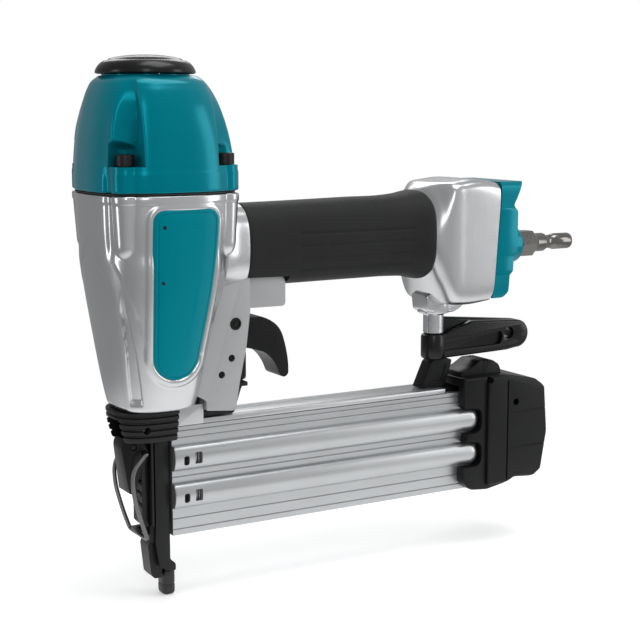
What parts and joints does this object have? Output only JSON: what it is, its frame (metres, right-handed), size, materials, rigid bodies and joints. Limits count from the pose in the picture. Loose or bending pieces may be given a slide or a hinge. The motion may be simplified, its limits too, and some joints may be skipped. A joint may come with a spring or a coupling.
{
  "type": "pneumatic brad nailer",
  "caption": "Air-powered brad nailer with an upright drive head, rubber-sleeved handle, side-loading sliding magazine, sprung contact foot and quick-connect air plug.",
  "frame": {"origin": "middle of the contact foot's flat lower face, which rests on the work", "axes": "+Z along the drive axis, away from the work; +X back along the handle towards the air plug; +Y across the tool"},
  "size_m": [0.2606, 0.0658, 0.2367],
  "materials": {
    "silver_casting": "satin clear-coated casting",
    "teal_casting": "gloss teal coating on a casting",
    "teal_plastic": "smooth teal plastic",
    "extruded_aluminium": "satin with fine drawn lines",
    "machined_aluminium": "machined",
    "grip_rubber": "matte, soft",
    "seal_rubber": "matte",
    "foot_rubber": "soft black",
    "black_plastic": "fine moulded texture",
    "gloss_black_plastic": "smooth black",
    "black_steel": "black oxide",
    "steel": "bright steel",
    "plug_chrome": "polished nickel plating",
    "valve_brass": "turned brass"
  },
  "bodies": {
    "frame": {"housing": "silver_casting", "cylinder_cap": "teal_casting", "cap_gasket": "seal_rubber", "cap_bolt_front_left": "black_steel", "cap_bolt_front_right": "black_steel", "cap_bolt_rear_left": "black_steel", "cap_bolt_rear_right": "black_steel", "deflector_screw": "black_steel", "side_inlay_left": "teal_plastic", "side_inlay_right": "teal_plastic", "cylinder_sleeve": "machined_aluminium", "bumper": "seal_rubber", "head_valve_spring": "steel", "trigger_pin": "black_steel", "trigger_spring": "steel", "trigger_valve_body": "valve_brass", "web_pin_upper": "black_steel", "web_pin_lower": "black_steel", "nose_collar": "black_steel", "driver_guide": "black_steel", "door_pin": "steel", "contact_spring": "steel", "arm_guide": "black_plastic", "fixed_rail": "extruded_aluminium", "grip_sleeve": "grip_rubber", "end_cap": "teal_casting", "end_cap_gasket": "seal_rubber", "end_cap_screw_left_lower": "black_steel", "end_cap_screw_left_upper": "black_steel", "end_cap_screw_right_lower": "black_steel", "end_cap_screw_right_upper": "black_steel", "air_plug": "plug_chrome", "strut": "black_plastic", "strut_screw": "steel"},
    "deflector": {"exhaust_deflector": "gloss_black_plastic"},
    "trigger": {"trigger": "black_plastic"},
    "valve_stem": {"trigger_valve_stem": "steel"},
    "driver": {"piston": "machined_aluminium", "piston_ring": "seal_rubber", "driver_blade": "steel"},
    "head_valve": {"head_valve": "black_plastic", "head_valve_seal": "seal_rubber"},
    "door": {"nose_door": "black_steel"},
    "lever": {"latch_lever": "black_plastic", "latch_pin": "steel"},
    "bail": {"latch_bail": "steel"},
    "contact": {"contact_arm": "black_steel", "contact_foot": "foot_rubber"},
    "wheel": {"depth_wheel": "black_plastic"},
    "magazine": {"sliding_magazine": "extruded_aluminium", "magazine_end_cap": "black_plastic", "magazine_latch_pin": "steel", "pusher_spring_roll": "steel", "pusher_spring_spool": "black_plastic"},
    "magazine_latch": {"magazine_latch": "black_plastic"},
    "pusher": {"pusher": "steel"},
    "hook": {"belt_hook": "black_plastic"}
  },
  "joints": [
    {"name": "exhaust_turn", "type": "hinge", "parent": "frame", "child": "deflector", "pos_m": [-0.0056, 0, 0.232], "axis": [0, 0, 1], "continuous": true},
    {"name": "trigger_pull", "type": "hinge", "parent": "frame", "child": "trigger", "pos_m": [0.0298, 0, 0.121], "axis": [0, -1, 0], "range_deg": [0, 10], "stiffness_Nm_per_rad": 0.3, "springref_deg": -8.59},
    {"name": "valve_stroke", "type": "slide", "parent": "frame", "child": "valve_stem", "axis": [0, 0, 1], "range_m": [0, 0.0021]},
    {"name": "drive_stroke", "type": "slide", "parent": "frame", "child": "driver", "axis": [0, 0, -1], "range_m": [0, 0.0698]},
    {"name": "head_valve_lift", "type": "slide", "parent": "frame", "child": "head_valve", "axis": [0, 0, 1], "range_m": [0, 0.004], "stiffness_N_per_m": 800, "springref_m": -0.01, "deforming": ["head_valve_spring"]},
    {"name": "door_open", "type": "hinge", "parent": "frame", "child": "door", "pos_m": [-0.0138, 0, 0.0784], "axis": [0, 1, 0], "range_deg": [0, 50]},
    {"name": "latch_open", "type": "hinge", "parent": "door", "child": "lever", "pos_m": [-0.0171, 0, 0.07], "axis": [0, 1, 0], "range_deg": [0, 70]},
    {"name": "bail_swing", "type": "hinge", "parent": "lever", "child": "bail", "pos_m": [-0.0122, 0, 0.067], "axis": [0, 1, 0], "range_deg": [0, 25]},
    {"name": "contact_press", "type": "slide", "parent": "frame", "child": "contact", "axis": [0, 0, 1], "range_m": [0, 0.007], "stiffness_N_per_m": 400, "springref_m": -0.02, "deforming": ["contact_spring"]},
    {"name": "depth_turn", "type": "hinge", "parent": "contact", "child": "wheel", "pos_m": [0.0354, 0, 0.1], "axis": [0, 0, 1], "continuous": true},
    {"name": "magazine_slide", "type": "slide", "parent": "frame", "child": "magazine", "axis": [1, 0, 0], "range_m": [0, 0.115]},
    {"name": "magazine_latch_press", "type": "hinge", "parent": "magazine", "child": "magazine_latch", "pos_m": [0.1664, 0, 0.083], "axis": [0, 1, 0], "range_deg": [0, 7], "stiffness_Nm_per_rad": 0.3, "springref_deg": -8.59},
    {"name": "pusher_slide", "type": "slide", "parent": "magazine", "child": "pusher", "axis": [1, 0, 0], "range_m": [0, 0.105], "stiffness_N_per_m": 25, "springref_m": -0.2},
    {"name": "hook_swivel", "type": "hinge", "parent": "frame", "child": "hook", "pos_m": [0.143, 0, 0.106], "axis": [0, 0, 1], "continuous": true}
  ],
  "couplings": [
    {"joint": "valve_stroke", "follows": "trigger_pull", "m_per_rad": 0.0116}
  ]
}
